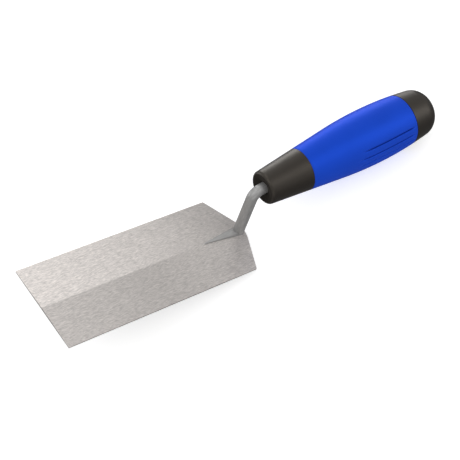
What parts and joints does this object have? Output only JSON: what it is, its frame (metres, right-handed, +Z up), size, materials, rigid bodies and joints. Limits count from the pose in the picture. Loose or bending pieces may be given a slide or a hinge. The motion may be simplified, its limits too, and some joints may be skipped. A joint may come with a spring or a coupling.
{
  "type": "margin trowel",
  "caption": "Square-toed flat steel blade with a low middle ridge, a cranked round shank and a tapered soft-grip handle, for working mortar in narrow places.",
  "frame": {"origin": "on the surface the trowel lies on, under the middle of its bounding box. The trowel lies on the nose of the blade's heel and on the underside of the butt cap, with the blade rising 19.64 degrees from the heel to the toe", "axes": "+X along the tool from the toe to the butt, +Z up, and Y = 0 is the plane of symmetry"},
  "size_m": [0.2484, 0.0508, 0.0442],
  "materials": {
    "blade_steel": "ground along its length to a fine satin, warm grey",
    "shank_steel": "darker satin steel with a fine grain along the rod",
    "hard_plastic": "satin black-brown moulded plastic",
    "core_plastic": "plain black moulded plastic, hidden by the grip",
    "soft_grip": "satin blue soft-touch rubber",
    "spring_steel": "blued spring steel"
  },
  "bodies": {
    "root": {"blade": "blade_steel", "shank_tongue": "shank_steel", "shank": "shank_steel", "front_collar": "hard_plastic", "handle_core": "core_plastic", "grip_sleeve": "soft_grip", "tang_lock_washer": "spring_steel", "butt_cap": "hard_plastic"}
  },
  "joints": []
}
